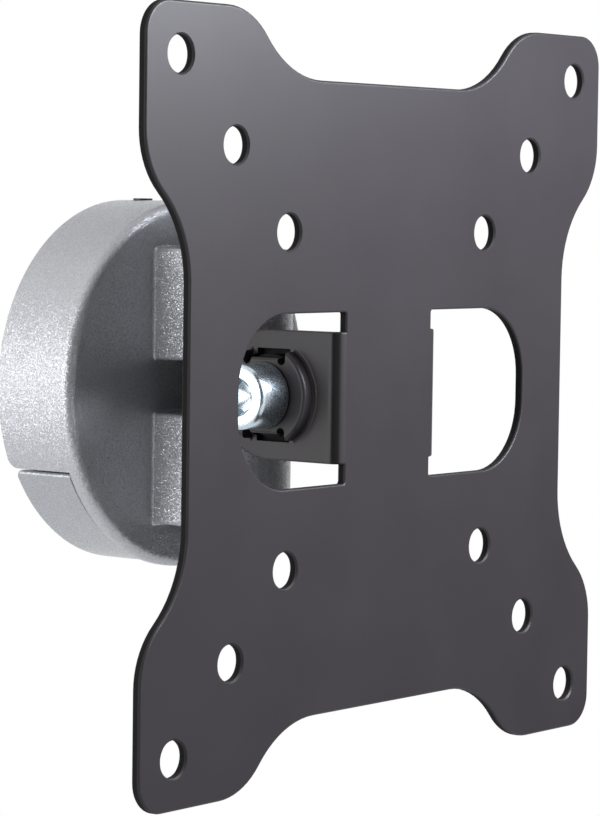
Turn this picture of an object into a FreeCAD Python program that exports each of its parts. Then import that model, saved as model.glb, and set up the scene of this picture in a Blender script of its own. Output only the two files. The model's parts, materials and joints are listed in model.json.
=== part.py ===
"""Articulating wall mount for a small screen.

Millimetres. +Z is up, +Y points into the wall and the screen plate faces -Y.
The origin is the centre of the face that lies on the wall.
"""
import FreeCAD, Part
import math
import os

os.makedirs("parts", exist_ok=True)

Vec = FreeCAD.Vector
X = Vec(1, 0, 0)
Y = Vec(0, 1, 0)
Z = Vec(0, 0, 1)

# Screen plate
plate_size = 115.0
plate_sheet = 1.5
plate_corner_radius = 5.0
pad_length = 18.0
waist_depth = 10.0
shoulder_radius = 12.0
waist_radius = 17.2
plate_edge_radius = 0.4
screw_pitches = (100.0, 75.0, 50.0)
screw_hole_diameter = 5.5
hole_edge_break = 0.25

# Windows and the ears folded back out of them
window_inner = 10.8
window_outer = 36.3
window_height = 26.0
window_corner_radius = 11.0
notch_corner_radius = 0.5
window_edge_radius = 0.3
ear_height = 20.0
ear_reach = 23.6
ear_edge_radius = 0.3
bend_inside_radius = 0.5
boss_radius = 7.9
boss_height = 2.4
boss_edge_radius = 0.6
boss_root_radius = 0.6
boss_flat = 5.8
boss_flat_roll = 0.5
slot_length = 6.4
slot_outer = 7.15
relief_radius = 0.75
relief_spacing = 6.7
relief_level = 5.5

# Places of the two joint axes
cup_depth = 15.0
swivel_standoff = 8.0
axis_distance = 19.0
tilt_setback = 12.5

# Tilt joint
tilt_bolt_diameter = 6.0
tilt_bolt_length = 40.0
tilt_head_diameter = 10.0
tilt_head_height = 6.0
tilt_head_radius = 0.75
tilt_tip_chamfer = 0.5
tilt_socket_flats = 5.0
tilt_socket_depth = 3.0
tilt_washer_diameter = 10.3
tilt_washer_thickness = 0.5
tilt_nut_flats = 10.0
tilt_nut_height = 6.0
nut_collar_height = 1.6
nut_collar_inset = 0.9
bush_flange_radius = 8.0
bush_flange_thickness = 1.0
bush_spigot_radius = 5.0
bush_spigot_length = 5.0
disc_thickness = 0.8

# Knuckle
barrel_radius = 8.0
tongue_radius = 7.5
tongue_thickness = 6.4
knuckle_fillet = 1.5

# Swivel joint
swivel_bolt_diameter = 8.0
swivel_head_radius = 7.0
swivel_head_rim = 0.8
swivel_head_height = 4.4
swivel_crown_radius = 4.2
swivel_socket_flats = 5.0
swivel_socket_depth = 2.6
swivel_washer_radius = 7.2
swivel_washer_thickness = 1.0
swivel_nut_flats = 13.0
swivel_nut_height = 6.5
swivel_nut_cover = 0.7
swivel_bush_wall = 1.5
swivel_flange_radius = 7.0
swivel_flange_thickness = 1.0

# Wall cup
cup_radius = 29.5
cup_wall = 2.5
cup_front = 2.5
cup_edge_radius = 1.5
lug_half_width = 9.75
lug_height = 17.7
lug_edge_radius = 0.8
lug_root_radius = 0.5
rim_corner_radius = 1.5

# Lower cover in the cup's rim
cover_top = -13.0
cover_inset = 0.5
cover_wall = 1.8
cover_edge_radius = 0.5
cover_corner_radius = 1.2

# Wall plate and the screw that locks the cup to it
wall_sheet = 2.0
wall_plate_depth = 8.5
wall_plate_bend = 2.5
wall_hole_count = 3
wall_hole_circle = 34.0
wall_hole_diameter = 6.5
set_screw_diameter = 4.0
set_screw_setback = 4.0
set_screw_flats = 2.0
set_screw_socket = 1.4
set_screw_stand = 0.3

# Clearances
running_clearance = 0.05
face_clearance = 0.05
seat_clearance = 0.1
bolt_hole_clearance = 0.2
cover_clearance = 0.3

# Levels that follow from the sizes above
cup_face = -cup_depth
swivel_y = cup_face - swivel_standoff
tilt_y = swivel_y - axis_distance
plate_front = tilt_y - tilt_setback
plate_back = plate_front + plate_sheet
bend_outside_radius = bend_inside_radius + plate_sheet
ear_outside = window_inner + bend_outside_radius
ear_inside = ear_outside - plate_sheet
boss_face = ear_outside + boss_height
washer_face = boss_face + tilt_washer_thickness
boss_recess_radius = boss_radius - plate_sheet
barrel_half = ear_inside - bush_flange_thickness - disc_thickness - face_clearance
barrel_bore = bush_spigot_radius + running_clearance
tongue_half = tongue_thickness / 2
lug_inner = tongue_half + swivel_flange_thickness + face_clearance
lug_outer = lug_inner + lug_height
swivel_bolt_radius = swivel_bolt_diameter / 2
swivel_bush_bore = swivel_bolt_radius + running_clearance
swivel_bush_outer = swivel_bush_bore + swivel_bush_wall
nut_seat = lug_outer - swivel_nut_cover - swivel_nut_height
swivel_head_seat = -lug_outer - swivel_washer_thickness
cup_bore = cup_radius - cup_wall
wall_plate_radius = cup_bore - seat_clearance


def cylinder(radius, length, base, axis):
    """Solid cylinder from a base point along an axis."""
    return Part.makeCylinder(radius, length, base, axis)


def ring(outer, inner, length, base, axis):
    """Plain ring or washer."""
    return cylinder(outer, length, base, axis).cut(cylinder(inner, length, base, axis))


def box_between(low, high):
    """Box from its lowest to its highest corner."""
    size = high - low
    return Part.makeBox(size.x, size.y, size.z, low)


def turn_to(axis):
    """Rotation that takes +Z to the axis."""
    return FreeCAD.Rotation(Z, axis)


def hexagon(flats, length, base, axis):
    """Hexagonal prism, given by its distance across flats."""
    corner = flats / math.sqrt(3)
    points = []
    for step in range(7):
        angle = math.radians(60 * step)
        points.append(Vec(corner * math.cos(angle), corner * math.sin(angle), 0))
    prism = Part.Face(Part.makePolygon(points)).extrude(Z * length)
    prism.Placement = FreeCAD.Placement(base, turn_to(axis))
    return prism


def revolved(profile, base, axis):
    """Solid of revolution from (radius, height) points, about an axis through base."""
    points = [Vec(radius, 0, height) for radius, height in profile]
    points.append(points[0])
    solid = Part.Face(Part.makePolygon(points)).revolve(Vec(), Z, 360)
    solid.Placement = FreeCAD.Placement(base, turn_to(axis))
    return solid


def face_of(edges):
    """Flat face inside a closed run of edges."""
    return Part.Face(Part.Wire(Part.__sortEdges__(edges)))


def mirrored(shape, axis=X):
    """The same shape on the other side of the middle plane across an axis."""
    return shape.mirror(Vec(), axis)


def edges_where(shape, test):
    """Edges of a shape whose middle point passes a test."""
    found = []
    for edge in shape.Edges:
        first, last = edge.ParameterRange
        if test(edge.valueAt((first + last) / 2)):
            found.append(edge)
    return found


def near(value, target):
    """True where two lengths agree to within a hundredth."""
    return abs(value - target) < 0.01


def plate_outline():
    """Square outline with rounded corners and a waist in each side."""
    half = plate_size / 2
    radii = shoulder_radius + waist_radius
    sweep = math.acos(1 - waist_depth / radii)
    pad_end = half - pad_length
    waist_end = pad_end - radii * math.sin(sweep)
    waist = half - waist_depth
    shoulder = (pad_end, half - shoulder_radius)
    hollow = (waist_end, waist + waist_radius)
    corner = (half - plate_corner_radius, half - plate_corner_radius)
    edges = []
    for quarter in range(4):
        turn = FreeCAD.Rotation(Y, 90 * quarter)

        def place(along, out):
            return turn.multVec(Vec(along, plate_front, out))

        def bow(centre, radius, side, first, last):
            """Arc by angles measured from straight out, towards the nearer corner."""
            spots = []
            for angle in (first, (first + last) / 2, last):
                along = centre[0] + radius * math.sin(angle)
                out = centre[1] + radius * math.cos(angle)
                spots.append(place(side * along, out))
            return Part.Arc(*spots).toShape()

        edges.append(bow(corner, plate_corner_radius, 1, 0, math.pi / 2))
        edges.append(Part.makeLine(place(waist_end, waist), place(-waist_end, waist)))
        for side in (1, -1):
            edges.append(Part.makeLine(place(side * corner[0], half), place(side * pad_end, half)))
            edges.append(bow(shoulder, shoulder_radius, side, 0, -sweep))
            edges.append(bow(hollow, waist_radius, side, math.pi, math.pi - sweep))
    return face_of(edges)


def window_cutter():
    """Window on the right: a straight inner edge and big round outer corners."""
    top = window_height / 2
    centre_x = window_outer - window_corner_radius
    centre_z = top - window_corner_radius
    diagonal = window_corner_radius * math.sqrt(0.5)
    ends = []
    edges = []
    for side in (1, -1):
        inner = Vec(window_inner, plate_front, side * top)
        corner = Vec(centre_x, plate_front, side * top)
        middle = Vec(centre_x + diagonal, plate_front, side * (centre_z + diagonal))
        outer = Vec(window_outer, plate_front, side * centre_z)
        edges.append(Part.makeLine(inner, corner))
        edges.append(Part.Arc(corner, middle, outer).toShape())
        ends.append((inner, outer))
    for first, last in zip(*ends):
        edges.append(Part.makeLine(first, last))
    cutter = face_of(edges).extrude(Y * plate_sheet)

    def notch_corner(point):
        return near(point.x, window_inner) and near(abs(point.z), top)

    return cutter.makeFillet(notch_corner_radius, edges_where(cutter, notch_corner))


def ear():
    """Right ear: its root in the sheet, the bend, the round-ended flat and the boss pressed out of it."""
    half = ear_height / 2
    bend_y = plate_front + bend_outside_radius
    round_y = plate_front + ear_reach - half
    edges = []
    for radius in (bend_inside_radius, bend_outside_radius):
        diagonal = radius * math.sqrt(0.5)
        start = Vec(window_inner, bend_y - radius, -half)
        middle = Vec(window_inner + diagonal, bend_y - diagonal, -half)
        end = Vec(window_inner + radius, bend_y, -half)
        edges.append(Part.Arc(start, middle, end).toShape())
    for end in (0, 1):
        edges.append(Part.makeLine(edges[0].Vertexes[end].Point, edges[1].Vertexes[end].Point))
    bend = face_of(edges).extrude(Z * ear_height)
    flat = box_between(Vec(ear_inside, bend_y, -half), Vec(ear_outside, round_y, half))
    tip = cylinder(half, plate_sheet, Vec(ear_inside, round_y, 0), X)
    blank = bend.fuse([flat, tip]).removeSplitter()

    def rim(point):
        beyond_bend = point.y > bend_y
        on_outline = near(abs(point.z), half) or near(math.hypot(point.y - round_y, point.z), half)
        return beyond_bend and on_outline and (near(point.x, ear_inside) or near(point.x, ear_outside))

    blank = blank.makeFillet(ear_edge_radius, edges_where(blank, rim))
    root_low = Vec(window_inner - window_edge_radius, plate_front, -half)
    root = box_between(root_low, Vec(window_inner, plate_back, half))
    boss = cylinder(boss_radius, boss_face - ear_inside, Vec(ear_inside, tilt_y, 0), X)
    boss = boss.makeFillet(boss_edge_radius, edges_where(boss, lambda point: near(point.x, boss_face)))
    body = blank.fuse([root, boss]).removeSplitter()

    def boss_root(point):
        on_boss = near(math.hypot(point.y - tilt_y, point.z), boss_radius)
        return on_boss and near(point.x, ear_outside)

    body = body.makeFillet(boss_root_radius, edges_where(body, boss_root))
    recess = cylinder(boss_recess_radius, boss_height, Vec(ear_inside, tilt_y, 0), X)
    hole_radius = tilt_bolt_diameter / 2 + bolt_hole_clearance
    hole = cylinder(hole_radius, plate_sheet, Vec(boss_face - plate_sheet, tilt_y, 0), X)
    return body.cut([recess, hole] + boss_slots())


def boss_slots():
    """Cutters above and below the boss: its slots, and the flat rolled edge between two reliefs."""
    slot_half = slot_length / 2
    flat_half = relief_spacing / 2 + relief_radius
    reach = boss_radius + boss_root_radius
    beyond = boss_face + boss_height
    roll_x = boss_face - boss_flat_roll
    roll_z = boss_flat - boss_flat_roll
    diagonal = boss_flat_roll * math.sqrt(0.5)
    start = tilt_y - flat_half
    corners = [
        Vec(boss_face, start, roll_z),
        Vec(beyond, start, roll_z),
        Vec(beyond, start, reach),
        Vec(ear_outside, start, reach),
        Vec(ear_outside, start, boss_flat),
        Vec(roll_x, start, boss_flat),
    ]
    edges = [Part.makeLine(*pair) for pair in zip(corners, corners[1:])]
    roll_middle = Vec(roll_x + diagonal, start, roll_z + diagonal)
    edges.append(Part.Arc(corners[-1], roll_middle, corners[0]).toShape())
    above = face_of(edges).extrude(Y * 2 * flat_half)
    low = Vec(ear_inside, tilt_y - slot_half, relief_level)
    slot = box_between(low, Vec(boss_face - plate_sheet, tilt_y + slot_half, slot_outer))
    cutters = [above, slot]
    for end in (1, -1):
        middle = Vec(ear_inside, tilt_y + end * relief_spacing / 2, relief_level)
        cutters.append(cylinder(relief_radius, boss_face - ear_inside, middle, X))
        notch_start = Vec(ear_outside, middle.y - relief_radius, relief_level)
        cutters.append(box_between(notch_start, Vec(boss_face, middle.y + relief_radius, slot_outer)))
    return cutters + [mirrored(cutter, Z) for cutter in cutters]


def screw_hole_cutters():
    """Screw holes at the corners of three squares, with their edges broken at both faces."""
    radius = screw_hole_diameter / 2
    wide = radius + hole_edge_break
    profile = [
        (0, 0),
        (wide, 0),
        (radius, hole_edge_break),
        (radius, plate_sheet - hole_edge_break),
        (wide, plate_sheet),
        (0, plate_sheet),
    ]
    cutters = []
    for pitch in screw_pitches:
        for side in (1, -1):
            for level in (1, -1):
                base = Vec(side * pitch / 2, plate_front, level * pitch / 2)
                cutters.append(revolved(profile, base, Y))
    return cutters


def screen_plate():
    """Folded sheet that the screen is bolted to."""
    sheet = plate_outline().extrude(Y * plate_sheet)

    def rim(point):
        return near(point.y, plate_front) or near(point.y, plate_back)

    def window_rim(point):
        inside = max(abs(point.x), abs(point.z)) < window_outer + face_clearance
        return inside and rim(point)

    sheet = sheet.makeFillet(plate_edge_radius, edges_where(sheet, rim))
    window = window_cutter()
    sheet = sheet.cut([window, mirrored(window)])
    sheet = sheet.makeFillet(window_edge_radius, edges_where(sheet, window_rim))
    right_ear = ear()
    ears = [right_ear, mirrored(right_ear)]
    return sheet.cut(screw_hole_cutters()).fuse(ears).removeSplitter()


def tilt_bush():
    """Right bush: seated in the boss, with a flange inside the ear and a spigot in the barrel."""
    seat = boss_recess_radius - seat_clearance
    base = Vec(ear_inside - bush_flange_thickness - bush_spigot_length, tilt_y, 0)
    flange_start = bush_spigot_length
    flange_end = bush_spigot_length + bush_flange_thickness
    seat_end = flange_end + boss_height - seat_clearance
    bore = tilt_bolt_diameter / 2 + seat_clearance
    profile = [
        (bore, 0),
        (bush_spigot_radius, 0),
        (bush_spigot_radius, flange_start),
        (bush_flange_radius, flange_start),
        (bush_flange_radius, flange_end),
        (seat, flange_end),
        (seat, seat_end),
        (bore, seat_end),
    ]
    return revolved(profile, base, X)


def tilt_disc():
    """Right friction disc, between the bush's flange and the barrel's end."""
    inner = bush_spigot_radius + seat_clearance
    base = Vec(ear_inside - bush_flange_thickness - disc_thickness, tilt_y, 0)
    return ring(bush_flange_radius, inner, disc_thickness, base, X)


def tilt_bolt():
    """Socket head screw through both ears, entered from the left."""
    radius = tilt_bolt_diameter / 2
    head = tilt_head_diameter / 2
    profile = [
        (0, 0),
        (head, 0),
        (head, tilt_head_height),
        (radius, tilt_head_height),
        (radius, tilt_head_height + tilt_bolt_length - tilt_tip_chamfer),
        (radius - tilt_tip_chamfer, tilt_head_height + tilt_bolt_length),
        (0, tilt_head_height + tilt_bolt_length),
    ]
    base = Vec(-washer_face - tilt_head_height, tilt_y, 0)
    screw = revolved(profile, base, X)
    screw = screw.makeFillet(tilt_head_radius, edges_where(screw, lambda point: near(point.x, base.x)))
    return screw.cut(hexagon(tilt_socket_flats, tilt_socket_depth, base, X))


def tilt_washer(base):
    """Plain washer on the tilt screw."""
    inner = tilt_bolt_diameter / 2 + seat_clearance
    return ring(tilt_washer_diameter / 2, inner, tilt_washer_thickness, base, X)


def tilt_nut():
    """Hexagon nut with a round collar that holds the locking insert."""
    bore = tilt_bolt_diameter / 2 + seat_clearance
    collar = tilt_nut_flats / 2
    base = Vec(washer_face, tilt_y, 0)
    body_height = tilt_nut_height - nut_collar_height
    body = hexagon(tilt_nut_flats, body_height, base, X)
    nut = body.fuse(cylinder(collar, tilt_nut_height, base, X))
    seat = cylinder(collar - nut_collar_inset, nut_collar_height, base + X * body_height, X)
    return nut.cut([seat, cylinder(bore, tilt_nut_height, base, X)]).removeSplitter()


def tilt_nut_insert():
    """Locking ring in the nut's collar."""
    base = Vec(washer_face + tilt_nut_height - nut_collar_height, tilt_y, 0)
    outer = tilt_nut_flats / 2 - nut_collar_inset
    return ring(outer, tilt_bolt_diameter / 2 + seat_clearance, nut_collar_height, base, X)


def knuckle():
    """Casting with a barrel on the tilt axis and a round-ended tongue on the swivel axis."""
    barrel = cylinder(barrel_radius, 2 * barrel_half, Vec(-barrel_half, tilt_y, 0), X)
    low = Vec(-tongue_radius, tilt_y, -tongue_half)
    high = Vec(tongue_radius, swivel_y, tongue_half)
    nose = cylinder(tongue_radius, tongue_thickness, Vec(0, swivel_y, -tongue_half), Z)
    body = barrel.fuse([box_between(low, high), nose]).removeSplitter()

    def join(point):
        on_barrel = near(math.hypot(point.y - tilt_y, point.z), barrel_radius)
        return on_barrel and point.y > tilt_y and abs(point.x) < barrel_half - face_clearance

    body = body.makeFillet(knuckle_fillet, edges_where(body, join))
    tilt_bore = cylinder(barrel_bore, 2 * barrel_half, Vec(-barrel_half, tilt_y, 0), X)
    swivel_bore = cylinder(swivel_bush_outer, tongue_thickness, Vec(0, swivel_y, -tongue_half), Z)
    return body.cut([tilt_bore, swivel_bore])


def swivel_bush():
    """Upper bush: a flange on the tongue and a sleeve half way through it."""
    profile = [
        (swivel_bush_bore, 0),
        (swivel_bush_outer, 0),
        (swivel_bush_outer, tongue_half),
        (swivel_flange_radius, tongue_half),
        (swivel_flange_radius, tongue_half + swivel_flange_thickness),
        (swivel_bush_bore, tongue_half + swivel_flange_thickness),
    ]
    return revolved(profile, Vec(0, swivel_y, 0), Z)


def swivel_bolt():
    """Dome-headed screw up through both lugs, with a hexagon socket in its head."""
    seat = Vec(0, swivel_y, swivel_head_seat)
    top = seat - Z * swivel_head_height
    rise = swivel_head_height - swivel_head_rim
    dome_drop = (swivel_head_radius ** 2 - swivel_crown_radius ** 2 - rise ** 2) / (2 * rise)
    dome_radius = math.hypot(swivel_head_radius, dome_drop)
    dome = Part.makeSphere(dome_radius, seat - Z * (swivel_head_rim - dome_drop))
    head = cylinder(swivel_head_radius, swivel_head_height, top, Z).common(dome)
    length = nut_seat + swivel_nut_height - swivel_head_seat
    shank = cylinder(swivel_bolt_radius, length, seat, Z)
    socket = hexagon(swivel_socket_flats, swivel_socket_depth, top, Z)
    return head.fuse(shank).removeSplitter().cut(socket)


def swivel_washer():
    """Washer between the screw's head and the lower lug."""
    inner = swivel_bolt_radius + seat_clearance
    base = Vec(0, swivel_y, swivel_head_seat)
    return ring(swivel_washer_radius, inner, swivel_washer_thickness, base, Z)


def swivel_nut():
    """Nut in the upper lug's pocket."""
    base = Vec(0, swivel_y, nut_seat)
    bore = cylinder(swivel_bolt_radius + seat_clearance, swivel_nut_height, base, Z)
    return hexagon(swivel_nut_flats, swivel_nut_height, base, Z).cut(bore)


def lug():
    """Upper lug, rounded about the swivel axis, with softened edges."""
    low = Vec(-lug_half_width, swivel_y, lug_inner)
    high = Vec(lug_half_width, cup_face + cup_front, lug_outer)
    nose = cylinder(lug_half_width, lug_height, Vec(0, swivel_y, lug_inner), Z)
    body = box_between(low, high).fuse(nose).removeSplitter()

    def rim(point):
        level = near(point.z, lug_inner) or near(point.z, lug_outer)
        return level and point.y < cup_face + cup_front - face_clearance

    return body.makeFillet(lug_edge_radius, edges_where(body, rim))


def wall_cup():
    """Cast cup with a pair of lugs on its front."""
    shell = cylinder(cup_radius, cup_depth, Vec(), -Y)
    shell = shell.makeFillet(cup_edge_radius, edges_where(shell, lambda point: near(point.y, cup_face)))
    hollow = cylinder(cup_bore, cup_depth - cup_front, Vec(), -Y)
    upper = lug()
    lower = upper.mirror(Vec(), Z)
    body = shell.cut(hollow).fuse([upper, lower]).removeSplitter()

    def root(point):
        return near(point.y, cup_face) and abs(point.x) < lug_half_width + face_clearance

    body = body.makeFillet(lug_root_radius, edges_where(body, root))
    screw_base = Vec(0, -set_screw_setback, cup_bore - seat_clearance)
    screw_hole = cylinder(set_screw_diameter / 2 + seat_clearance, 2 * cup_wall, screw_base, Z)
    bolt_base = Vec(0, swivel_y, -lug_outer)
    bolt_hole = cylinder(swivel_bolt_radius + bolt_hole_clearance, 2 * lug_outer, bolt_base, Z)
    pocket_depth = lug_outer - nut_seat
    pocket = hexagon(swivel_nut_flats + 2 * seat_clearance, pocket_depth, Vec(0, swivel_y, nut_seat), Z)
    rim_low = Vec(-cup_radius, cup_face + cup_front, -cup_radius)
    rim_high = Vec(cup_radius, 0, cover_top)
    rim_gap = box_between(rim_low, rim_high)
    body = body.cut([screw_hole, bolt_hole, pocket, rim_gap])
    corners = edges_where(body, lambda point: near(point.y, 0) and near(point.z, cover_top))
    return body.makeFillet(rim_corner_radius, corners)


def lower_cover():
    """Curved insert that closes the gap in the lower rim."""
    outer = cup_radius - cover_inset
    front = cup_face + cup_front + face_clearance
    tube = ring(outer, outer - cover_wall, -front, Vec(0, front, 0), Y)
    low = Vec(-cup_radius, front, -cup_radius)
    high = Vec(cup_radius, 0, cover_top - cover_clearance)
    cover = tube.common(box_between(low, high))
    corners = edges_where(cover, lambda point: near(point.y, 0) and near(point.z, high.z))
    cover = cover.makeFillet(cover_corner_radius, corners)

    def crest(point):
        return near(point.z, high.z) and near(math.hypot(point.x, point.z), outer)

    return cover.makeFillet(cover_edge_radius, edges_where(cover, crest))


def wall_plate():
    """Pressed dish screwed to the wall, with a rim that the cup fits over."""
    dish = cylinder(wall_plate_radius, wall_plate_depth, Vec(), -Y)
    dish = dish.makeFillet(wall_plate_bend, edges_where(dish, lambda point: near(point.y, 0)))
    inner_radius = wall_plate_radius - wall_sheet
    hollow = cylinder(inner_radius, wall_plate_depth - wall_sheet, Vec(0, -wall_sheet, 0), -Y)
    holes = []
    for step in range(wall_hole_count):
        angle = math.radians(90 + 360 * step / wall_hole_count)
        reach = wall_hole_circle / 2
        base = Vec(reach * math.cos(angle), 0, reach * math.sin(angle))
        holes.append(cylinder(wall_hole_diameter / 2, wall_sheet, base, -Y))
    return dish.cut([hollow] + holes)


def set_screw():
    """Headless screw in the top of the rim, bearing on the wall plate."""
    base = Vec(0, -set_screw_setback, wall_plate_radius)
    length = cup_radius + set_screw_stand - wall_plate_radius
    socket = hexagon(set_screw_flats, set_screw_socket, base + Z * (length - set_screw_socket), Z)
    return cylinder(set_screw_diameter / 2, length, base, Z).cut(socket)


left_washer_base = Vec(-washer_face, tilt_y, 0)
right_washer_base = Vec(boss_face, tilt_y, 0)

pieces = {
    "screen_plate": screen_plate(),
    "tilt_bush_left": mirrored(tilt_bush()),
    "tilt_bush_right": tilt_bush(),
    "tilt_disc_left": mirrored(tilt_disc()),
    "tilt_disc_right": tilt_disc(),
    "tilt_bolt": tilt_bolt(),
    "tilt_head_washer": tilt_washer(left_washer_base),
    "tilt_nut_washer": tilt_washer(right_washer_base),
    "tilt_nut": tilt_nut(),
    "tilt_nut_insert": tilt_nut_insert(),
    "knuckle": knuckle(),
    "swivel_bush_upper": swivel_bush(),
    "swivel_bush_lower": swivel_bush().mirror(Vec(), Z),
    "swivel_bolt": swivel_bolt(),
    "swivel_washer": swivel_washer(),
    "swivel_nut": swivel_nut(),
    "wall_cup": wall_cup(),
    "lower_cover": lower_cover(),
    "wall_plate": wall_plate(),
    "set_screw": set_screw(),
}

for name, shape in pieces.items():
    print(name, len(shape.Solids), shape.isValid(), round(shape.Volume, 1))
    shape.exportStep(f"parts/{name}.step")
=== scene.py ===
"""Looks of a small articulating wall mount for a screen, in metres.

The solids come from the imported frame. The small fasteners are modelled again with their
threads, sockets and rounded edges, and every surface gets its finish.
"""
import json
import math

import bmesh
import bpy
from bpy.props import FloatProperty, FloatVectorProperty, PointerProperty
from mathutils import Matrix, Quaternion, Vector


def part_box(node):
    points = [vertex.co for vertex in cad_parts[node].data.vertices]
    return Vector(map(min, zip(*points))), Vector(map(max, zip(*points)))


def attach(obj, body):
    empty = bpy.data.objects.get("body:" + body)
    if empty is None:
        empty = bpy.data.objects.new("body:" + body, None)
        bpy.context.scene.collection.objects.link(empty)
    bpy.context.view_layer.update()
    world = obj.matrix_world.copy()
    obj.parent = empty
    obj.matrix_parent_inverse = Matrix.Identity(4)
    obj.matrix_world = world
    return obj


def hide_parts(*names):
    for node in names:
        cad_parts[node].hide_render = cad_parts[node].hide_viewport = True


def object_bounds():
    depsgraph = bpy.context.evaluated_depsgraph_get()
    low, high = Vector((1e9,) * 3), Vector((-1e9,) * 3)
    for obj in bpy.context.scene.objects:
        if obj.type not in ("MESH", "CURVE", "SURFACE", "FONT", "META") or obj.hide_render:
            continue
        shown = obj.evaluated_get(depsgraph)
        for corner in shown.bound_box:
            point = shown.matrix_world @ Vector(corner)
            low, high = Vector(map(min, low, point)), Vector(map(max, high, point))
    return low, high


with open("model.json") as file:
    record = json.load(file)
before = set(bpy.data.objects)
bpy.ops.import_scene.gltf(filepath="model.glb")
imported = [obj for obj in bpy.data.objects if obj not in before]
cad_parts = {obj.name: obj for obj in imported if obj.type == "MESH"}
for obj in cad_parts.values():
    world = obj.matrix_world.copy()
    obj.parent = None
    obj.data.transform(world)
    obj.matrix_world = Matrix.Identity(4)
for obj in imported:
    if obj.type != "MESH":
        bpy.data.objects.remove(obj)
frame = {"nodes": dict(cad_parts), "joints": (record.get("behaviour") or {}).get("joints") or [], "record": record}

bl_info = {
    "name": "Articulating Screen Mount",
    "version": (1, 0, 0),
    "blender": (4, 5, 0),
    "location": "View3D > Sidebar > Mount",
    "description": "Finishes a small wall mount for a screen and sets up its studio",
    "category": "Object",
}

CAD_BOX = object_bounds()
JOINT_AT = {joint["name"]: Vector(joint["pos_m"]) for joint in frame["joints"]}
BODIES = frame["record"]["behaviour"]["bodies"]
BODY_OF = {node: body for body, nodes in BODIES.items() for node in nodes}
SLOT_OF = {part["node"]: part["material_slot"] for part in frame["record"]["subparts"]}

X = Vector((1, 0, 0))
Z = Vector((0, 0, 1))
TURN_STEPS = 48
WELD = 1e-7
SHARP_ANGLE = math.radians(30)
SIXTH = math.radians(60)
NUT_CHAMFER = math.radians(30)
SENSOR_WIDTH = 36
WHITE = (1, 1, 1)

# Depth of a thread as a share of its pitch, and shares of a hexagon's size across its flats
THREAD_DEPTH = 0.61
SOCKET_LEAD = 0.06
SOCKET_TIP = 1 / 6
SOCKET_ENTRY = 1.04 / math.sqrt(3)
NUT_FACE = 0.47
NUT_CORNER = 1 / math.sqrt(3)


def length(label, default, description):
    """Property for a size in metres."""
    return FloatProperty(name=label, description=description, default=default, unit="LENGTH", precision=5)


def share(label, default, description):
    """Property for a number from nought to one."""
    return FloatProperty(name=label, description=description, default=default, min=0, max=1, subtype="FACTOR")


def colour(label, default, description):
    """Property for a colour."""
    return FloatVectorProperty(
        name=label, description=description, default=default, min=0, max=1, subtype="COLOR"
    )


def angle(label, degrees, description):
    """Property for an angle, given in degrees."""
    return FloatProperty(
        name=label, description=description, default=math.radians(degrees), subtype="ANGLE"
    )


def power(label, default, description):
    """Property for a lamp's power."""
    return FloatProperty(name=label, description=description, default=default, min=0, unit="POWER")


class CoatSettings(bpy.types.PropertyGroup):
    """Black finishes of the plate, the casting and the small parts."""

    plate: colour("Plate", (0.027, 0.0238, 0.0268), "Powder coat on the screen plate")
    plate_roughness: share("Plate roughness", 0.40, "Satin of the powder coat")
    plate_grain: length("Plate grain", 0.00035, "Width of the powder coat's fine grain")
    plate_cloud: length("Plate cloud", 0.018, "Width of the coat's broad, faint changes of shade")
    plate_sheet: length("Plate sheet", 0.0015, "Thickness of the screen plate's sheet")
    # The colour on the sheet's sheared edges is darkened as painted shade.
    edge_painted_shade: share("Edge shade", 0.15, "Brightness of the coat on the sheet's sheared edges")
    edge_roughness: share("Edge roughness", 0.9, "Thin dull coat on the sheet's sheared edges")
    casting: colour("Casting", (0.008, 0.008, 0.009), "Paint on the knuckle")
    nylon: colour("Nylon", (0.005, 0.005, 0.006), "Bushes")
    oxide: colour("Oxide", (0.014, 0.014, 0.016), "Blackened screws and washers")


class SilverSettings(bpy.types.PropertyGroup):
    """Silver finishes of the cup and its cover."""

    paint: colour("Paint", (0.49, 0.498, 0.53), "Sparkle paint on the cup")
    flake: length("Flake", 0.00012, "Width of a flake in the paint")
    flake_tilt: share("Flake tilt", 0.54, "How far the flakes lean out of the surface")
    cover: colour("Cover", (0.42, 0.435, 0.465), "Moulded lower cover")
    cover_flake: length("Cover flake", 0.00013, "Width of a flake in the cover")
    # The dark seam is a painted shadow in the step at the cover's front edge.
    seam_shadow_width: length("Cover seam", 0.0009, "Width of the dark seam along the cover's front edge")
    seam_shadow_brightness: share("Seam shade", 0.2, "Brightness of the cover in that seam")


class MetalSettings(bpy.types.PropertyGroup):
    """Bare and plated metals, and the nut's locking ring."""

    zinc: colour("Zinc", (0.63, 0.73, 0.8), "Bright zinc on the tilt screw and nuts")
    steel: colour("Steel", (0.56, 0.57, 0.58), "Plated sheet of the wall plate")
    fibre: colour("Fibre", (0.17, 0.10, 0.065), "Friction discs")
    locking_ring: colour("Locking ring", (0.74, 0.76, 0.78), "Insert in the tilt nut")


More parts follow.
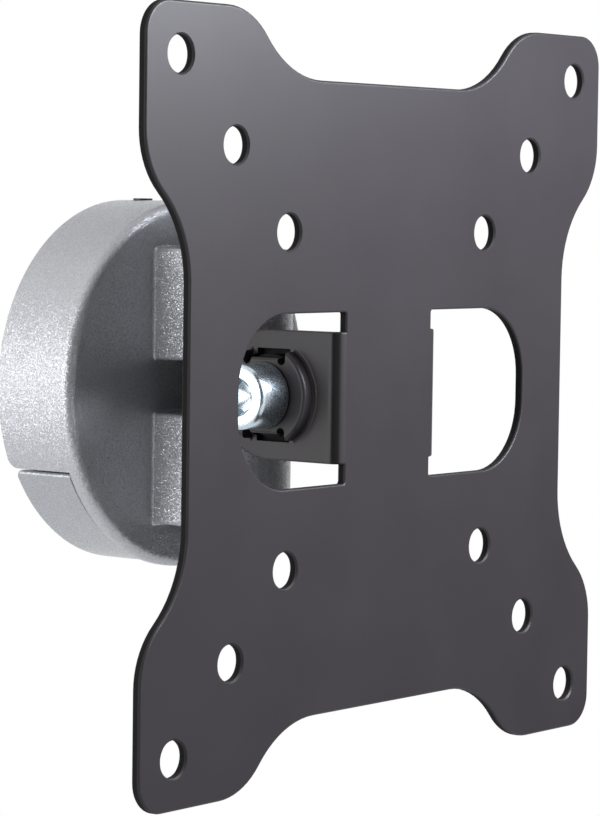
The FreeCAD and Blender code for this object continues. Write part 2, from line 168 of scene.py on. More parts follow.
class FastenerSettings(bpy.types.PropertyGroup):
    """Sizes of the threads, sockets and edges of the small fasteners."""

    tilt_screw: length("Tilt screw", 0.006, "Diameter of the tilt screw's thread")
    tilt_pitch: length("Tilt pitch", 0.001, "Pitch of that thread")
    tilt_thread: length("Tilt thread", 0.024, "Threaded length")
    tilt_socket: length("Tilt socket", 0.005, "Socket across its flats")
    tilt_socket_depth: length("Tilt socket depth", 0.003, "Depth of that socket")
    head_radius: length("Head radius", 0.00075, "Rounded rim of the tilt screw's head")
    head_crease: length("Head crease", 0.00006, "Fine step between that rim and the head's flat")
    nut_collar: length("Nut collar", 0.0016, "Height of the round collar on the tilt nut")
    swivel_screw: length("Swivel screw", 0.008, "Diameter of the swivel screw's thread")
    swivel_pitch: length("Swivel pitch", 0.00125, "Pitch of that thread")
    swivel_thread: length("Swivel thread", 0.022, "Threaded length")
    swivel_rim: length("Swivel head rim", 0.0008, "Straight rim below the dome of the head")
    swivel_crown: length("Swivel head crown", 0.0042, "Radius of the flat on top of the dome")
    swivel_socket: length("Swivel socket", 0.005, "Socket across its flats")
    swivel_socket_depth: length("Swivel socket depth", 0.0026, "Depth of that socket")
    set_pitch: length("Set screw pitch", 0.0007, "Pitch of the set screw's thread")
    set_socket: length("Set screw socket", 0.002, "Socket across its flats")
    set_socket_depth: length("Set screw socket depth", 0.0014, "Depth of that socket")
    bore_clearance: length("Bore clearance", 0.0001, "Room between a thread and the bore round it")
    edge_radius: length("Edge radius", 0.00014, "Rounding of turned and stamped edges")


class StudioSettings(bpy.types.PropertyGroup):
    """Floor, lamps and surrounding light."""

    floor_drop: length("Floor drop", 0.25, "Distance from the mount's centre down to the floor")
    floor_size: length("Floor size", 8.0, "Width of the floor")
    floor_shade: share("Floor shade", 0.82, "Brightness of the floor's own colour")
    floor_white: share("Floor white", 0.75, "Share of plain white in what the camera sees of the floor")
    ambient: share("Ambient", 0.2, "Strength of the surrounding light on dull surfaces")
    card_shade: share("Card shade", 0.12, "Brightness of the grey cards seen in gloss")
    overhead_shade: share("Overhead shade", 0.78, "Brightness of the card above, seen in gloss")
    key_power: power("Key", 1.7, "Soft lamp near the plate, above and to the right")
    key_tint: colour("Key tint", (0.9, 0.93, 1.0), "Faint blue of that lamp")
    side_power: power("Side", 4.2, "Wide soft lamp at the left, towards the rear")
    left_power: power("Left", 0.6, "Smaller lamp on the left that lights the lugs")
    rear_power: power("Rear", 1.0, "Soft lamp above and behind")


class ViewSettings(bpy.types.PropertyGroup):
    """Camera of the photograph."""

    location: FloatVectorProperty(
        name="Location",
        description="Place of the camera",
        default=(-0.39111, -0.34502, 0.02863),
        subtype="TRANSLATION",
        unit="LENGTH",
    )
    azimuth: angle("Azimuth", -51.79, "Direction round the mount, from straight in front")
    elevation: angle("Elevation", 3.61, "Height above the horizon")
    roll: angle("Roll", 0.77, "Turn about the line of sight")
    lens: FloatProperty(
        name="Lens", description="Focal length", default=140.1, unit="CAMERA", subtype="DISTANCE_CAMERA"
    )


SETTINGS = {
    "mount_coat": CoatSettings,
    "mount_silver": SilverSettings,
    "mount_metal": MetalSettings,
    "mount_fastener": FastenerSettings,
    "mount_studio": StudioSettings,
    "mount_view": ViewSettings,
}


# Nodes that several finishes share

def add_node(tree, kind, inputs=None, **properties):
    """Adds a node, sets its properties, and links or fills its inputs."""
    node = tree.nodes.new(kind)
    for name, value in properties.items():
        setattr(node, name, value)
    for name, value in (inputs or {}).items():
        if isinstance(value, bpy.types.NodeSocket):
            tree.links.new(value, node.inputs[name])
        else:
            node.inputs[name].default_value = value
    return node


def grain(tree, place, width, detail=2.0):
    """Noise whose blotches are about so wide."""
    inputs = {"Vector": place, "Scale": 1 / width, "Detail": detail, "Roughness": 0.55}
    return add_node(tree, "ShaderNodeTexNoise", inputs).outputs["Fac"]


def spread(tree, factor, low, high, from_low=0.0, from_high=1.0):
    """Takes a factor from one range to another."""
    inputs = {"Value": factor, "From Min": from_low, "From Max": from_high, "To Min": low, "To Max": high}
    return add_node(tree, "ShaderNodeMapRange", inputs).outputs["Result"]


def shaded(tree, factor, base, low, high, from_low=0.3, from_high=0.7):
    """A colour that varies between two shades of itself."""
    ramp = add_node(tree, "ShaderNodeValToRGB", {"Fac": factor})
    for stop, position, shade in zip(ramp.color_ramp.elements, (from_low, from_high), (low, high)):
        stop.position = position
        stop.color = (*[min(1.0, part * shade) for part in base], 1)
    return ramp.outputs["Color"]


def relief(tree, height, depth, strength=1.0):
    """Normal of a bumpy surface of the given depth."""
    inputs = {"Height": height, "Distance": depth, "Strength": strength}
    return add_node(tree, "ShaderNodeBump", inputs).outputs["Normal"]


def combined(tree, operation, *vectors):
    """Result of a vector operation."""
    inputs = dict(enumerate(vectors))
    return add_node(tree, "ShaderNodeVectorMath", inputs, operation=operation).outputs[0]


def leaning(tree, direction, amount):
    """Surface normal that leans by a random colour, as a flake does."""
    middle_grey = (0.5, 0.5, 0.5)
    centred = combined(tree, "SUBTRACT", direction, middle_grey)
    lean = combined(tree, "MULTIPLY", centred, (amount, amount, amount))
    surface = add_node(tree, "ShaderNodeNewGeometry").outputs["Normal"]
    return combined(tree, "NORMALIZE", combined(tree, "ADD", surface, lean))


def depth_of(tree, place):
    """Place along the Y axis, which runs from the screen into the wall."""
    return add_node(tree, "ShaderNodeSeparateXYZ", {"Vector": place}).outputs["Y"]


def darkened(tree, mask, tint, base, shade):
    """A colour that falls to a dark shade of its base where the mask is one."""
    dark = [part * shade for part in base]
    mixed = add_node(tree, "ShaderNodeMix", {0: mask, 6: tint, 7: (*dark, 1)}, data_type="RGBA")
    return mixed.outputs[2]


def new_surface(name):
    """Empty material, its node tree and the place on the piece."""
    material = bpy.data.materials.new(name)
    material.use_nodes = True
    tree = material.node_tree
    tree.nodes.clear()
    return material, tree, add_node(tree, "ShaderNodeTexCoord").outputs["Object"]


def close_surface(tree, **inputs):
    """Adds the shader and the output."""
    named = {name.replace("_", " ").title().replace("Ior", "IOR"): value for name, value in inputs.items()}
    shader = add_node(tree, "ShaderNodeBsdfPrincipled", named)
    shader.inputs["IOR"].default_value = 1.5
    add_node(tree, "ShaderNodeOutputMaterial", {"Surface": shader.outputs["BSDF"]})


# Finishes

def powder_coat(scene, name):
    """Satin black powder coat with a fine orange peel, and painted shade that darkens the sheet's sheared edges.
    """
    coat = scene.mount_coat
    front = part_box("screen_plate")[0][1]
    back = front + coat.plate_sheet
    blend = coat.plate_sheet / 5
    material, tree, place = new_surface(name)
    fine = grain(tree, place, coat.plate_grain)
    broad = grain(tree, place, coat.plate_cloud)
    depth = depth_of(tree, place)
    behind = spread(tree, depth, 0.0, 1.0, front + blend / 2, front + 1.5 * blend)
    before = spread(tree, depth, 1.0, 0.0, back - blend, back)
    # Mask of the sheet's sheared edges: painted shade darkens the colour there, and the coat there is duller.
    sheared = add_node(tree, "ShaderNodeMath", {0: behind, 1: before}, operation="MULTIPLY").outputs[0]
    faces = shaded(tree, broad, coat.plate, low=0.92, high=1.08)
    satin = spread(tree, fine, coat.plate_roughness - 0.05, coat.plate_roughness + 0.05)
    dulled = add_node(tree, "ShaderNodeMix", {0: sheared, 2: satin, 3: coat.edge_roughness})
    close_surface(
        tree,
        base_color=darkened(tree, sheared, faces, coat.plate, coat.edge_painted_shade),
        roughness=dulled.outputs[0],
        normal=relief(tree, fine, depth=0.00001, strength=0.5),
        specular_ior_level=0.27,
    )
    return material


DULL_BLACKS = {
    "black_casting": {"colour": "casting", "roughness": 0.55, "grain": 0.0006, "gloss": 0.18},
    "black_nylon": {"colour": "nylon", "roughness": 0.65, "grain": 0.0009, "gloss": 0.12},
    "black_oxide": {"colour": "oxide", "roughness": 0.36, "grain": 0.0004, "gloss": 0.4},
}


def dull_black(scene, name):
    """Black paint, oxide or nylon, with a fine grain."""
    kind = DULL_BLACKS[name]
    base = getattr(scene.mount_coat, kind["colour"])
    rough = kind["roughness"]
    material, tree, place = new_surface(name)
    fine = grain(tree, place, kind["grain"], detail=3.0)
    broad = grain(tree, place, 8 * kind["grain"])
    close_surface(
        tree,
        base_color=shaded(tree, broad, base, low=0.8, high=1.25),
        roughness=spread(tree, fine, rough - 0.08, rough + 0.08),
        normal=relief(tree, fine, depth=0.00002, strength=0.6),
        specular_ior_level=kind["gloss"],
    )
    return material


def flake_finish(tree, place, base, flake, tilt, contrast, smooth):
    """Colour, roughness and normal of paint or plastic full of metal flakes."""
    cells = add_node(tree, "ShaderNodeTexVoronoi", {"Vector": place, "Scale": 1 / flake}, feature="F1")
    parts = add_node(tree, "ShaderNodeSeparateColor", {"Color": cells.outputs["Color"]})
    low, high = 1 - contrast, 1 + contrast
    tint = shaded(tree, parts.outputs["Red"], base, low, high, from_low=0.1, from_high=0.95)
    rough = spread(tree, parts.outputs["Green"], low=smooth, high=smooth + 0.12)
    return tint, rough, leaning(tree, cells.outputs["Color"], tilt)


def sparkle_paint(scene, name):
    """Silver paint with coarse flakes under a thin clear coat."""
    silver = scene.mount_silver
    material, tree, place = new_surface(name)
    tilt = silver.flake_tilt
    tint, rough, lean = flake_finish(
        tree, place, silver.paint, silver.flake, tilt, contrast=0.2, smooth=0.27
    )
    close_surface(
        tree,
        base_color=tint,
        metallic=0.5,
        roughness=rough,
        normal=lean,
        coat_weight=0.15,
        coat_roughness=0.2,
    )
    return material


def silver_moulding(scene, name):
    """Smooth silver plastic with fine flakes, and a painted shadow in the seam along its front edge."""
    silver = scene.mount_silver
    material, tree, place = new_surface(name)
    tilt = silver.flake_tilt / 2
    tint, rough, lean = flake_finish(
        tree, place, silver.cover, silver.cover_flake, tilt, contrast=0.12, smooth=0.2
    )
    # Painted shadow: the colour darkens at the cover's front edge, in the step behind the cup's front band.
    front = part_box("lower_cover")[0][1]
    seam_shadow_end = front + silver.seam_shadow_width
    seam_shadow_fades = front + silver.seam_shadow_width * 0.75
    seam = spread(tree, depth_of(tree, place), 1.0, 0.0, from_low=seam_shadow_fades, from_high=seam_shadow_end)
    tint = darkened(tree, seam, tint, silver.cover, silver.seam_shadow_brightness)
    close_surface(tree, base_color=tint, metallic=0.5, roughness=rough, normal=lean)
    return material


def bright_zinc(scene, name):
    """Zinc plate, faintly blue, with a fine crystalline mottle."""
    material, tree, place = new_surface(name)
    mottle = grain(tree, place, width=0.00013)
    close_surface(
        tree,
        base_color=shaded(tree, mottle, scene.mount_metal.zinc, low=0.8, high=1.1),
        metallic=1.0,
        roughness=spread(tree, mottle, low=0.16, high=0.32, from_low=0.3, from_high=0.7),
        normal=relief(tree, mottle, depth=0.000012, strength=0.5),
    )
    return material


def rolled_sheet(scene, name):
    """Plated sheet with the faint streaks of rolling."""
    material, tree, place = new_surface(name)
    stretched = add_node(tree, "ShaderNodeMapping", {"Vector": place, "Scale": (1, 1, 0.06)})
    streaks = grain(tree, stretched.outputs["Vector"], width=0.0004, detail=3.0)
    broad = grain(tree, place, width=0.006)
    close_surface(
        tree,
        base_color=shaded(tree, broad, scene.mount_metal.steel, low=0.88, high=1.08),
        metallic=1.0,
        roughness=spread(tree, streaks, low=0.28, high=0.46),
        normal=relief(tree, streaks, depth=0.00001, strength=0.4),
    )
    return material


def pressed_fibre(scene, name):
    """Brown friction disc with short fibres in it."""
    material, tree, place = new_surface(name)
    fibres = grain(tree, place, width=0.0005, detail=5.0)
    close_surface(
        tree,
        base_color=shaded(tree, fibres, scene.mount_metal.fibre, low=0.55, high=1.5),
        roughness=spread(tree, fibres, low=0.7, high=0.9),
        normal=relief(tree, fibres, depth=0.00006, strength=0.7),
    )
    return material


def pale_nylon(scene, name):
    """Locking ring of the nut."""
    material, tree, place = new_surface(name)
    cloud = grain(tree, place, width=0.0012)
    close_surface(
        tree,
        base_color=shaded(tree, cloud, scene.mount_metal.locking_ring, low=0.93, high=1.04),
        roughness=spread(tree, cloud, low=0.35, high=0.5),
        normal=relief(tree, cloud, depth=0.00003, strength=0.4),
    )
    return material


FINISHES = {
    "black_powder_coat": powder_coat,
    "black_casting": dull_black,
    "black_nylon": dull_black,
    "black_oxide": dull_black,
    "silver_sparkle_paint": sparkle_paint,
    "silver_plastic": silver_moulding,
    "zinc_plate": bright_zinc,
    "pressed_steel": rolled_sheet,
    "friction_fibre": pressed_fibre,
    "white_nylon": pale_nylon,
}
made_finishes = {}


def finish_of(scene, node):
    """Material of a node's slot, made once."""
    slot = SLOT_OF[node]
    if slot not in made_finishes:
        made_finishes[slot] = FINISHES[slot](scene, slot)
    return made_finishes[slot]


def dress(scene, *nodes):
    """Puts the finish of its slot on each solid that is shown as it is."""
    for node in nodes:
        for slot in frame["nodes"][node].material_slots:
            slot.material = finish_of(scene, node)


# Shapes that several fasteners share

def turned(bm, profile, closed):
    """Turns a run of (radius, height) points about the Z axis."""
    verts = [bm.verts.new((radius, 0, height)) for radius, height in profile]
    edges = [bm.edges.new(pair) for pair in zip(verts, verts[1:])]
    if closed:
        edges.append(bm.edges.new((verts[-1], verts[0])))
    bmesh.ops.spin(
        bm,
        geom=verts + edges,
        cent=(0, 0, 0),
        axis=Z,
        angle=2 * math.pi,
        steps=TURN_STEPS,
        use_merge=True,
    )
    bmesh.ops.remove_doubles(bm, verts=bm.verts, dist=WELD)


def soften(bm, width, segments=3):
    """Rounds the sharp edges."""
    sharp = [edge for edge in bm.edges if edge.is_manifold and edge.calc_face_angle() > SHARP_ANGLE]
    bmesh.ops.bevel(
        bm,
        geom=sharp,
        offset=width,
        segments=segments,
        profile=0.5,
        affect="EDGES",
        material=-1,
        clamp_overlap=True,
    )


def extend_ring(bm, ring, place):
    """Extrudes a ring of edges, puts each new corner in place and returns the new ring."""
    made = bmesh.ops.extrude_edge_only(bm, edges=ring)["geom"]
    corners = {part for part in made if isinstance(part, bmesh.types.BMVert)}
    for corner in corners:
        corner.co = place(corner.co)
    edges = [part for part in made if isinstance(part, bmesh.types.BMEdge)]
    return [edge for edge in edges if corners.issuperset(edge.verts)]


def sink_socket(bm, flats, depth):
    """Sinks a hexagon socket from the open ring in the face at height nought."""
    lead = SOCKET_LEAD * flats
    tip = depth + SOCKET_TIP * flats

    def on_hexagon(height):
        def place(point):
            off_flat = math.atan2(point.y, point.x) % SIXTH - SIXTH / 2
            reach = flats / 2 / math.cos(off_flat)
            around = Vector((point.x, point.y, 0)).normalized()
            return around * reach + Z * height

        return place

    ring = [edge for edge in bm.edges if edge.is_boundary]
    ring = extend_ring(bm, ring, on_hexagon(lead))
    ring = extend_ring(bm, ring, on_hexagon(depth))
    extend_ring(bm, ring, lambda point: Z * tip)
    bmesh.ops.remove_doubles(bm, verts=bm.verts, dist=WELD)


def socket_entry(flats):
    """Radius of the ring that a socket is sunk from."""
    return SOCKET_ENTRY * flats


def nut_edges(flats):
    """Radius of a nut's face, radius of its corners and height of the slope between them."""
    face = NUT_FACE * flats
    corner = NUT_CORNER * flats
    return face, corner, (corner - face) * math.tan(NUT_CHAMFER)


def mill_flats(bm, flats):
    """Cuts a turned blank to a hexagon."""
    for step in range(6):
        turn = SIXTH * (step + 0.5)
        outward = Vector((math.cos(turn), math.sin(turn), 0))
        cut = bmesh.ops.bisect_plane(
            bm,
            geom=bm.verts[:] + bm.edges[:] + bm.faces[:],
            plane_co=outward * flats / 2,
            plane_no=outward,
            clear_outer=True,
        )
        rim = [part for part in cut["geom_cut"] if isinstance(part, bmesh.types.BMEdge)]
        bmesh.ops.contextual_create(bm, geom=rim)


def add_thread(bm, diameter, pitch, low, high):
    """Adds a threaded stud between two heights, tapered at its upper end."""
    stud = bmesh.new()
    crest = diameter / 2
    root = crest - THREAD_DEPTH * pitch
    profile = [(root, 0), (root, 1 / 8), (crest, 7 / 16), (crest, 9 / 16), (root, 7 / 8), (root, 1)]
    verts = [stud.verts.new((radius, 0, low + (turn - 1) * pitch)) for radius, turn in profile]
    edges = [stud.edges.new(pair) for pair in zip(verts, verts[1:])]
    turns = math.ceil((high - low) / pitch) + 2
    bmesh.ops.spin(
        stud,
        geom=verts + edges,
        cent=(0, 0, 0),
        axis=Z,
        dvec=Z * pitch / TURN_STEPS,
        angle=turns * 2 * math.pi,
        steps=turns * TURN_STEPS,
    )
    bmesh.ops.remove_doubles(stud, verts=stud.verts, dist=WELD)
    for height, outward in ((low, -Z), (high, Z)):
        bmesh.ops.bisect_plane(
            stud,
            geom=stud.verts[:] + stud.edges[:] + stud.faces[:],
            plane_co=Z * height,
            plane_no=outward,
            clear_outer=True,
        )
    for vert in stud.verts:
        radius = vert.co.xy.length
        vert.co.xy *= min(1, (root + high - vert.co.z) / radius)
    bmesh.ops.holes_fill(stud, edges=[edge for edge in stud.edges if edge.is_boundary])
    mesh = bpy.data.meshes.new("stud")
    stud.to_mesh(mesh)
    stud.free()
    bm.from_mesh(mesh)
    bpy.data.meshes.remove(mesh)


def set_on(base, axis):
    """Placement that takes the origin to a point and +Z to an axis."""
    return Matrix.Translation(base) @ Z.rotation_difference(axis).to_matrix().to_4x4()


def make_piece(scene, name, bm, placement, node):
    """Turns a bmesh into a piece that stands for a node of the frame."""
    bmesh.ops.transform(bm, matrix=placement, verts=bm.verts)
    bmesh.ops.recalc_face_normals(bm, faces=bm.faces)
    mesh = bpy.data.meshes.new(name)
    bm.to_mesh(mesh)
    bm.free()
    mesh.shade_smooth()
    mesh.set_sharp_from_angle(angle=SHARP_ANGLE)
    mesh.materials.append(finish_of(scene, node))
    piece = bpy.data.objects.new(name, mesh)
    scene.collection.objects.link(piece)
    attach(piece, BODY_OF[node])
    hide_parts(node)


def make_washer(scene, name, node, axis, bore):
    """Stamped washer with softened edges."""
    low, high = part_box(node)
    size = high - low
    thick = size.dot(axis)
    outer = max(size) / 2
    middle = (low + high) / 2
    bm = bmesh.new()
    turned(bm, [(bore, 0), (outer, 0), (outer, thick), (bore, thick)], closed=True)
    soften(bm, scene.mount_fastener.edge_radius)
    make_piece(scene, name, bm, set_on(middle - axis * thick / 2, axis), node)


class MOUNT_OT_screen_plate(bpy.types.Operator):
    """Coat the folded plate that the screen is bolted to"""

    bl_idname = "mount.screen_plate"
    bl_label = "Screen plate"

    def execute(self, context):
        dress(context.scene, "screen_plate")
        return {"FINISHED"}


class MOUNT_OT_tilt_screw(bpy.types.Operator):
    """Model the socket head screw through the ears, with its washer"""

    bl_idname = "mount.tilt_screw"
    bl_label = "Tilt screw"

    def execute(self, context):
        scene = context.scene
        sizes = scene.mount_fastener
        low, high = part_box("tilt_bolt")
        head = (high.z - low.z) / 2
        head_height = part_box("tilt_head_washer")[0].x - low.x
        shank = sizes.tilt_screw / 2
        end = high.x - low.x
        thread_start = end - sizes.tilt_thread
        rim = sizes.head_radius
        crease = sizes.head_crease
        rim_steps = 8
        profile = [(socket_entry(sizes.tilt_socket), 0), (head - rim - crease, 0)]
        for step in range(rim_steps + 1):
            lean = math.pi / 2 * step / rim_steps
            profile.append((head - rim + rim * math.sin(lean), crease + rim - rim * math.cos(lean)))
        profile += [
            (head, head_height),
            (shank, head_height),
            (shank, thread_start),
            (0, thread_start),
        ]
        bm = bmesh.new()
        turned(bm, profile, closed=False)
        soften(bm, sizes.edge_radius)
        sink_socket(bm, sizes.tilt_socket, sizes.tilt_socket_depth)
        add_thread(bm, sizes.tilt_screw, sizes.tilt_pitch, thread_start, end)
        axis_end = Vector((low.x, JOINT_AT["tilt"].y, JOINT_AT["tilt"].z))
        make_piece(scene, "tilt_screw", bm, set_on(axis_end, X), "tilt_bolt")
        bore = shank + sizes.bore_clearance
        make_washer(scene, "screw_washer", "tilt_head_washer", X, bore)
        make_washer(scene, "nut_washer", "tilt_nut_washer", X, bore)
        return {"FINISHED"}


class MOUNT_OT_tilt_nut(bpy.types.Operator):
    """Model the lock nut on the tilt screw and the ring in its collar"""

    bl_idname = "mount.tilt_nut"
    bl_label = "Tilt nut"

    def execute(self, context):
        scene = context.scene
        sizes = scene.mount_fastener
        low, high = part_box("tilt_nut")
        ring_low, ring_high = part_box("tilt_nut_insert")
        flats = min(high.y - low.y, high.z - low.z)
        height = high.x - low.x
        body = height - sizes.nut_collar
        seat = (ring_high.z - ring_low.z) / 2
        bore = sizes.tilt_screw / 2 + sizes.bore_clearance
        face, corner, slope = nut_edges(flats)
        profile = [
            (bore, 0),
            (face, 0),
            (corner, slope),
            (corner, body - slope),
            (face, body),
            (face, height),
            (seat, height),
            (seat, body),
            (bore, body),
        ]
        bm = bmesh.new()
        turned(bm, profile, closed=True)
        mill_flats(bm, flats)
        soften(bm, sizes.edge_radius, segments=2)
        base = Vector((low.x, JOINT_AT["tilt"].y, JOINT_AT["tilt"].z))
        make_piece(scene, "lock_nut", bm, set_on(base, X), "tilt_nut")
        make_washer(scene, "lock_ring", "tilt_nut_insert", X, bore)
        return {"FINISHED"}


class MOUNT_OT_tilt_bushes(bpy.types.Operator):
    """Finish the bushes and friction discs on the tilt axis"""

    bl_idname = "mount.tilt_bushes"
    bl_label = "Tilt bushes and discs"

    def execute(self, context):
        for side in ("left", "right"):
            dress(context.scene, f"tilt_bush_{side}", f"tilt_disc_{side}")
        return {"FINISHED"}


class MOUNT_OT_knuckle(bpy.types.Operator):
    """Finish the knuckle and the bushes in its tongue"""

    bl_idname = "mount.knuckle"
    bl_label = "Knuckle"

    def execute(self, context):
        dress(context.scene, "knuckle", "swivel_bush_upper", "swivel_bush_lower")
        return {"FINISHED"}


class MOUNT_OT_swivel_screw(bpy.types.Operator):
    """Model the domed screw through the lugs, its washer and its nut"""

    bl_idname = "mount.swivel_screw"
    bl_label = "Swivel screw"

    def execute(self, context):
        scene = context.scene
        sizes = scene.mount_fastener
        low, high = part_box("swivel_bolt")
        head = (high.x - low.x) / 2
        head_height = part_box("swivel_washer")[0].z - low.z
        shank = sizes.swivel_screw / 2
        end = high.z - low.z
        thread_start = end - sizes.swivel_thread
        rise = head_height - sizes.swivel_rim
        drop = (head ** 2 - sizes.swivel_crown ** 2 - rise ** 2) / (2 * rise)
        dome = math.hypot(head, drop)
        first = math.asin(sizes.swivel_crown / dome)
        last = math.asin(head / dome)
        dome_steps = 10
        profile = [(socket_entry(sizes.swivel_socket), 0)]
        for step in range(dome_steps + 1):
            lean = first + (last - first) * step / dome_steps
            profile.append((dome * math.sin(lean), rise + drop - dome * math.cos(lean)))
        profile += [(head, head_height), (shank, head_height), (shank, thread_start), (0, thread_start)]
        bm = bmesh.new()
        turned(bm, profile, closed=False)
        soften(bm, sizes.edge_radius)
        sink_socket(bm, sizes.swivel_socket, sizes.swivel_socket_depth)
        add_thread(bm, sizes.swivel_screw, sizes.swivel_pitch, thread_start, end)
        base = Vector((JOINT_AT["swivel"].x, JOINT_AT["swivel"].y, low.z))
        make_piece(scene, "swivel_screw", bm, set_on(base, Z), "swivel_bolt")
        bore = shank + sizes.bore_clearance
        make_washer(scene, "dome_washer", "swivel_washer", Z, bore)
        self.make_nut(scene, bore)
        return {"FINISHED"}

    def make_nut(self, scene, bore):
        """Plain hexagon nut in the upper lug's pocket."""
        low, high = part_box("swivel_nut")
        flats = min(high.x - low.x, high.y - low.y)
        height = high.z - low.z
        face, corner, slope = nut_edges(flats)
        profile = [
            (bore, 0),
            (face, 0),
            (corner, slope),
            (corner, height - slope),
            (face, height),
            (bore, height),
        ]
        bm = bmesh.new()
        turned(bm, profile, closed=True)
        mill_flats(bm, flats)
        soften(bm, scene.mount_fastener.edge_radius, segments=2)
        base = Vector((JOINT_AT["swivel"].x, JOINT_AT["swivel"].y, low.z))
        make_piece(scene, "lug_nut", bm, set_on(base, Z), "swivel_nut")


class MOUNT_OT_wall_cup(bpy.types.Operator):
    """Paint the cup and its lower cover"""

    bl_idname = "mount.wall_cup"
    bl_label = "Wall cup and cover"

    def execute(self, context):
        dress(context.scene, "wall_cup", "lower_cover")
        return {"FINISHED"}


class MOUNT_OT_wall_plate(bpy.types.Operator):
    """Finish the pressed dish on the wall"""

    bl_idname = "mount.wall_plate"
    bl_label = "Wall plate"

    def execute(self, context):
        dress(context.scene, "wall_plate")
        return {"FINISHED"}


class MOUNT_OT_set_screw(bpy.types.Operator):
    """Model the headless screw in the top of the cup's rim"""

    bl_idname = "mount.set_screw"
    bl_label = "Set screw"

    def execute(self, context):
        scene = context.scene
        sizes = scene.mount_fastener
        low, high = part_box("set_screw")
        size = high.x - low.x
        root = size / 2 - THREAD_DEPTH * sizes.set_pitch
        collar = sizes.set_pitch / 2
        profile = [(socket_entry(sizes.set_socket), 0), (root, 0), (root, collar), (0, collar)]
        bm = bmesh.new()
        turned(bm, profile, closed=False)
        sink_socket(bm, sizes.set_socket, sizes.set_socket_depth)
        add_thread(bm, size, sizes.set_pitch, collar, high.z - low.z)
        middle = (low + high) / 2
        make_piece(scene, "grub_screw", bm, set_on(Vector((middle.x, middle.y, high.z)), -Z), "set_screw")
        return {"FINISHED"}


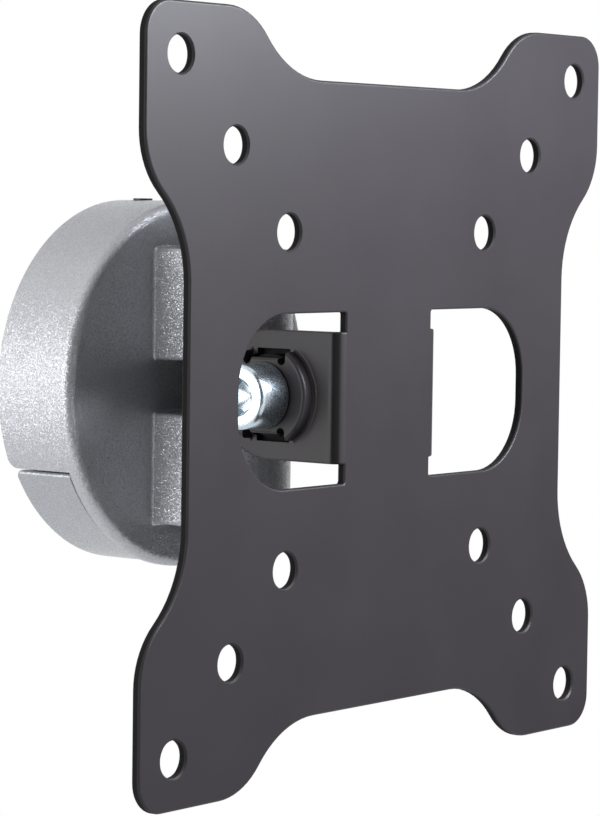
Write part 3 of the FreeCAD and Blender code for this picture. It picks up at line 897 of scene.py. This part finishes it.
class MOUNT_OT_stage(bpy.types.Operator):
    """Lay the floor, set the lamps and place the camera"""

    bl_idname = "mount.stage"
    bl_label = "Stage"

    def execute(self, context):
        scene = context.scene
        scene.view_settings.view_transform = "Standard"
        self.lay_floor(scene)
        self.light_world(scene)
        self.set_lamps(scene)
        self.stand_cards(scene)
        self.place_camera(scene)
        return {"FINISHED"}

    def seen(self, tree):
        """One for rays from the camera, from gloss and through glass, and nought for dull light."""
        path = add_node(tree, "ShaderNodeLightPath")
        rays = path.outputs["Is Camera Ray"]
        for name in ("Is Glossy Ray", "Is Transmission Ray"):
            inputs = {0: rays, 1: path.outputs[name]}
            rays = add_node(tree, "ShaderNodeMath", inputs, operation="MAXIMUM").outputs[0]
        return rays

    def lay_floor(self, scene):
        """Pale floor that keeps a soft shadow."""
        studio = scene.mount_studio
        bm = bmesh.new()
        bmesh.ops.create_grid(bm, x_segments=1, y_segments=1, size=studio.floor_size / 2)
        bmesh.ops.translate(bm, vec=-Z * studio.floor_drop, verts=bm.verts)
        mesh = bpy.data.meshes.new("floor")
        bm.to_mesh(mesh)
        bm.free()
        floor = bpy.data.objects.new("floor", mesh)
        scene.collection.objects.link(floor)
        material, tree, place = new_surface("pale_floor")
        cloud = grain(tree, place, width=0.4)
        shade = shaded(tree, cloud, [studio.floor_shade] * 3, low=0.99, high=1.01)
        dull = add_node(tree, "ShaderNodeBsdfDiffuse", {"Color": shade})
        white = add_node(tree, "ShaderNodeEmission", {"Color": (*WHITE, 1), "Strength": 1.0})
        away = add_node(tree, "ShaderNodeVectorMath", {0: place}, operation="LENGTH").outputs["Value"]
        far_white = spread(tree, away, studio.floor_white, 1.0, studio.floor_drop, 3 * studio.floor_drop)
        inputs = {0: self.seen(tree), 1: far_white}
        share_white = add_node(tree, "ShaderNodeMath", inputs, operation="MULTIPLY").outputs[0]
        mixed = add_node(
            tree, "ShaderNodeMixShader", {0: share_white, 1: dull.outputs[0], 2: white.outputs[0]}
        )
        add_node(tree, "ShaderNodeOutputMaterial", {"Surface": mixed.outputs[0]})
        mesh.materials.append(material)

    def light_world(self, scene):
        """White surroundings, with a plain level of light on dull surfaces."""
        world = bpy.data.worlds.new("surroundings")
        scene.world = world
        world.use_nodes = True
        tree = world.node_tree
        tree.nodes.clear()
        strength = spread(tree, self.seen(tree), scene.mount_studio.ambient, 1.0)
        inputs = {"Color": (*WHITE, 1), "Strength": strength}
        background = add_node(tree, "ShaderNodeBackground", inputs)
        add_node(tree, "ShaderNodeOutputWorld", {"Surface": background.outputs[0]})

    def set_lamps(self, scene):
        """Soft lamps aimed at the middle of the mount: name, power, tint, place and size of each."""
        studio = scene.mount_studio
        target = (CAD_BOX[0] + CAD_BOX[1]) / 2
        lamps = (
            ("key_lamp", studio.key_power, studio.key_tint, (0.09, -0.24, 0.12), (0.16, 0.08)),
            ("side_lamp", studio.side_power, WHITE, (-0.76, 0.25, 0.04), (0.8, 0.6)),
            ("left_lamp", studio.left_power, WHITE, (-0.8, 0.0, 0.1), (0.25, 0.3)),
            ("rear_lamp", studio.rear_power, WHITE, (-0.4, 0.7, 0.9), (0.8, 0.8)),
        )
        for name, watts, tint, place, (width, height) in lamps:
            lamp = bpy.data.lights.new(name, "AREA")
            lamp.shape = "RECTANGLE"
            lamp.size = width
            lamp.size_y = height
            lamp.energy = watts
            lamp.color = tint
            stand = bpy.data.objects.new(name, lamp)
            stand.location = place
            stand.rotation_mode = "QUATERNION"
            stand.rotation_quaternion = (target - stand.location).to_track_quat("-Z", "Y")
            scene.collection.objects.link(stand)

    def stand_cards(self, scene):
        """Grey cards that are seen only in gloss: name, shade, azimuth, elevation, distance and size."""
        view = scene.mount_view
        studio = scene.mount_studio
        dark = studio.card_shade
        cards = (
            ("camera_card", dark, view.azimuth, 0.0, 0.7, (1.0, 1.0)),
            ("right_card", dark, math.radians(62), 0.0, 0.5, (0.36, 0.9)),
            ("high_card", dark, math.radians(100), math.radians(38), 0.8, (0.8, 0.5)),
            ("overhead_card", studio.overhead_shade, math.pi, math.radians(58), 1.5, (2.6, 1.4)),
        )
        for name, shade, azimuth, elevation, distance, (width, height) in cards:
            material, tree, _ = new_surface(name)
            glow = add_node(tree, "ShaderNodeEmission", {"Color": (*WHITE, 1), "Strength": shade})
            add_node(tree, "ShaderNodeOutputMaterial", {"Surface": glow.outputs[0]})
            away = Vector((math.sin(azimuth), -math.cos(azimuth), math.tan(elevation))).normalized()
            bm = bmesh.new()
            bmesh.ops.create_grid(bm, x_segments=1, y_segments=1, size=0.5)
            bmesh.ops.scale(bm, vec=(width, height, 1), verts=bm.verts)
            upright = away.to_track_quat("Z", "Y").to_matrix().to_4x4()
            middle = Matrix.Translation(away * distance)
            bmesh.ops.transform(bm, matrix=middle @ upright, verts=bm.verts)
            mesh = bpy.data.meshes.new(name)
            bm.to_mesh(mesh)
            bm.free()
            mesh.materials.append(material)
            card = bpy.data.objects.new(name, mesh)
            for kind in ("camera", "diffuse", "transmission", "volume_scatter", "shadow"):
                setattr(card, f"visible_{kind}", False)
            scene.collection.objects.link(card)

    def place_camera(self, scene):
        """Camera at the photograph's viewing angle."""
        view = scene.mount_view
        back = Vector((math.sin(view.azimuth), -math.cos(view.azimuth), math.tan(view.elevation)))
        camera = bpy.data.cameras.new("camera")
        camera.sensor_width = SENSOR_WIDTH
        camera.lens = view.lens
        stand = bpy.data.objects.new("camera", camera)
        stand.location = view.location
        stand.rotation_mode = "QUATERNION"
        stand.rotation_quaternion = back.to_track_quat("Z", "Y") @ Quaternion(Z, view.roll)
        scene.collection.objects.link(stand)
        scene.camera = stand


OPERATORS = (
    MOUNT_OT_screen_plate,
    MOUNT_OT_tilt_screw,
    MOUNT_OT_tilt_nut,
    MOUNT_OT_tilt_bushes,
    MOUNT_OT_knuckle,
    MOUNT_OT_swivel_screw,
    MOUNT_OT_wall_cup,
    MOUNT_OT_wall_plate,
    MOUNT_OT_set_screw,
    MOUNT_OT_stage,
)


class MOUNT_PT_sidebar(bpy.types.Panel):
    """Settings and steps of the mount"""

    bl_label = "Screen Mount"
    bl_idname = "MOUNT_PT_sidebar"
    bl_space_type = "VIEW_3D"
    bl_region_type = "UI"
    bl_category = "Mount"

    def draw(self, context):
        for name in SETTINGS:
            group = getattr(context.scene, name)
            column = self.layout.box().column()
            for setting in group.bl_rna.properties:
                if setting.identifier not in {"rna_type", "name"}:
                    column.prop(group, setting.identifier)
        for operator in OPERATORS:
            self.layout.operator(operator.bl_idname)


CLASSES = (*SETTINGS.values(), *OPERATORS, MOUNT_PT_sidebar)


def register():
    """Adds the settings, operators and panel."""
    for each in CLASSES:
        bpy.utils.register_class(each)
    for name, group in SETTINGS.items():
        setattr(bpy.types.Scene, name, PointerProperty(type=group))


def unregister():
    """Takes them away again."""
    for name in SETTINGS:
        delattr(bpy.types.Scene, name)
    for each in reversed(CLASSES):
        bpy.utils.unregister_class(each)


def main():
    """Builds every piece."""
    register()
    for operator in OPERATORS:
        group, name = operator.bl_idname.split(".")
        getattr(getattr(bpy.ops, group), name)()


if __name__ == "__main__":
    main()
